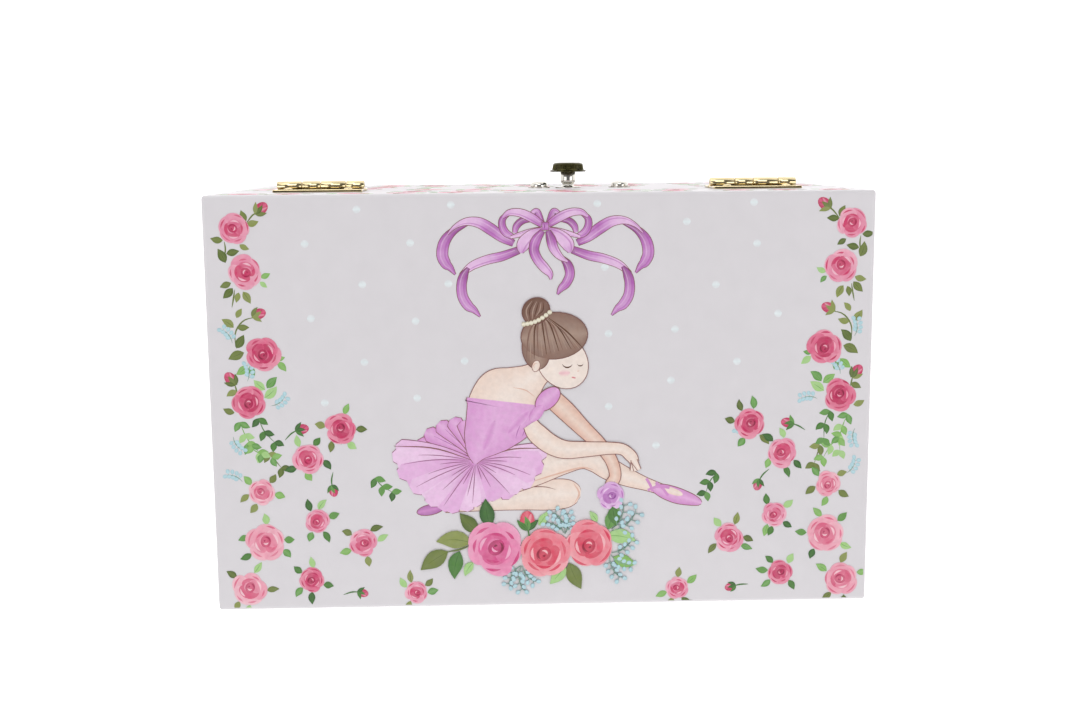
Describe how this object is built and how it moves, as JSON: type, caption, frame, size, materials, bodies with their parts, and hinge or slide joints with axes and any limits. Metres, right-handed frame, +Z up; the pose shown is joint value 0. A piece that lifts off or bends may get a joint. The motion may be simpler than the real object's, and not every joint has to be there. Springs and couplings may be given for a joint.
{
  "type": "ballerina jewellery box",
  "caption": "Musical jewellery box: wrapped board case with a brass-hinged lid and mirror, front drawer, lined tray, wind-up movement and a dancer that unfolds and turns on a spring.",
  "frame": {"origin": "centre of the underside of the box, on the surface it stands on", "axes": "+Z up, +X to the right seen from the front, +Y to the rear, towards the hinges and the winding knob; rest pose is lid closed"},
  "size_m": [0.18, 0.1307, 0.106],
  "materials": {
    "wrapped_board": "board wrapped in printed satin art paper, pale pink-white",
    "base_felt": "thin pressed felt",
    "flocking": "short rayon flock on card, soft pink",
    "cushion": "flocked foam roll",
    "mirror": "silvered glass, polished",
    "brass": "polished pale brass plate",
    "nickel": "polished nickel plate",
    "dark_knob": "dark bronze lacquered metal, semi-gloss",
    "steel": "fine ground steel",
    "zinc": "cast zinc alloy, satin",
    "gear_brass": "machined brass",
    "white_plastic": "moulded acetal",
    "spring_steel": "blued spring strip",
    "figure_skin": "painted moulded plastic",
    "figure_skirt": "stiff pink net with satin ribbon",
    "figure_hair": "painted moulded plastic, brown",
    "drawer_card": "card box wrapped in plain pink paper"
  },
  "bodies": {
    "box": {"base_felt": "base_felt", "base_panel": "wrapped_board", "rear_panel": "wrapped_board", "front_panel": "wrapped_board", "left_panel": "wrapped_board", "right_panel": "wrapped_board", "shelf_panel": "drawer_card", "tray_lining": "flocking", "tray_dividers": "flocking", "ring_cushions": "cushion", "stage_cover": "flocking", "spindle_bush": "brass", "hinge_leaves_box": "brass", "hinge_pins": "brass", "hinge_nails_box": "brass", "movement_screws": "nickel", "movement_washers": "nickel", "key_escutcheon": "nickel", "bedplate": "zinc", "comb_riser": "zinc", "comb": "steel", "comb_screws": "steel", "governor_frame": "white_plastic", "figure_spring": "nickel", "drawer_rails": "drawer_card"},
    "lid": {"lid_top": "wrapped_board", "lid_frame": "wrapped_board", "lid_liner": "flocking", "lid_mirror": "mirror", "hinge_leaves_lid": "brass", "hinge_nails_lid": "brass"},
    "winding_key": {"winding_knob": "dark_knob", "winding_stem": "nickel", "winding_arbor": "steel"},
    "barrel": {"spring_barrel": "gear_brass", "barrel_cap": "gear_brass", "mainspring": "spring_steel"},
    "cylinder": {"tune_cylinder": "gear_brass", "tune_pins": "steel", "cylinder_arbor": "steel", "cylinder_pinion": "gear_brass"},
    "fly": {"governor_fly": "white_plastic"},
    "stop": {"stop_wire": "steel"},
    "spindle": {"spindle": "steel", "spindle_pinion": "gear_brass"},
    "dancer_tilt": {"figure_socket": "brass"},
    "dancer": {"figure_body": "figure_skin", "figure_skirt": "figure_skirt", "figure_hair": "figure_hair"},
    "drawer": {"drawer_front": "wrapped_board", "drawer_tray": "drawer_card", "drawer_lining": "flocking", "drawer_knob": "brass"}
  },
  "joints": [
    {"name": "lid_hinge", "type": "hinge", "parent": "box", "child": "lid", "pos_m": [0, 0.0585, 0.076], "axis": [-1, 0, 0], "range_deg": [0, 100]},
    {"name": "winding_turn", "type": "hinge", "parent": "box", "child": "winding_key", "pos_m": [0.0096, 0.057, 0.058], "axis": [0, 1, 0], "continuous": true},
    {"name": "barrel_turn", "type": "hinge", "parent": "box", "child": "barrel", "pos_m": [0.0096, 0.0415, 0.058], "axis": [0, 1, 0], "continuous": true},
    {"name": "cylinder_turn", "type": "hinge", "parent": "box", "child": "cylinder", "pos_m": [-0.01, 0.0376, 0.058], "axis": [1, 0, 0], "continuous": true},
    {"name": "fly_spin", "type": "hinge", "parent": "box", "child": "fly", "pos_m": [-0.0264, 0.043, 0.058], "axis": [0, 0, 1], "continuous": true},
    {"name": "spindle_turn", "type": "hinge", "parent": "box", "child": "spindle", "pos_m": [0.0096, 0.0376, 0.068], "axis": [0, 0, 1], "continuous": true},
    {"name": "stop_slide", "type": "slide", "parent": "box", "child": "stop", "axis": [0, 0, 1], "range_m": [0, 0.004]},
    {"name": "dancer_fold", "type": "hinge", "parent": "box", "child": "dancer_tilt", "pos_m": [0.0096, 0.0376, 0.076], "axis": [-1, 0, 0], "range_deg": [0, 80], "deforming": ["figure_spring"]},
    {"name": "dancer_spin", "type": "hinge", "parent": "dancer_tilt", "child": "dancer", "pos_m": [0.0096, 0.0376, 0.076], "axis": [0, -0.9848, 0.1736], "continuous": true},
    {"name": "drawer_slide", "type": "slide", "parent": "box", "child": "drawer", "axis": [0, -1, 0], "range_m": [0, 0.075]}
  ],
  "couplings": [
    {"joint": "dancer_fold", "follows": "lid_hinge", "ratio": 0.8},
    {"joint": "stop_slide", "follows": "lid_hinge", "m_per_rad": 0.00229},
    {"joint": "cylinder_turn", "follows": "barrel_turn", "ratio": 2.6667},
    {"joint": "spindle_turn", "follows": "barrel_turn", "ratio": -2.6667},
    {"joint": "dancer_spin", "follows": "barrel_turn", "ratio": -2.6667},
    {"joint": "fly_spin", "follows": "barrel_turn", "ratio": 16}
  ]
}
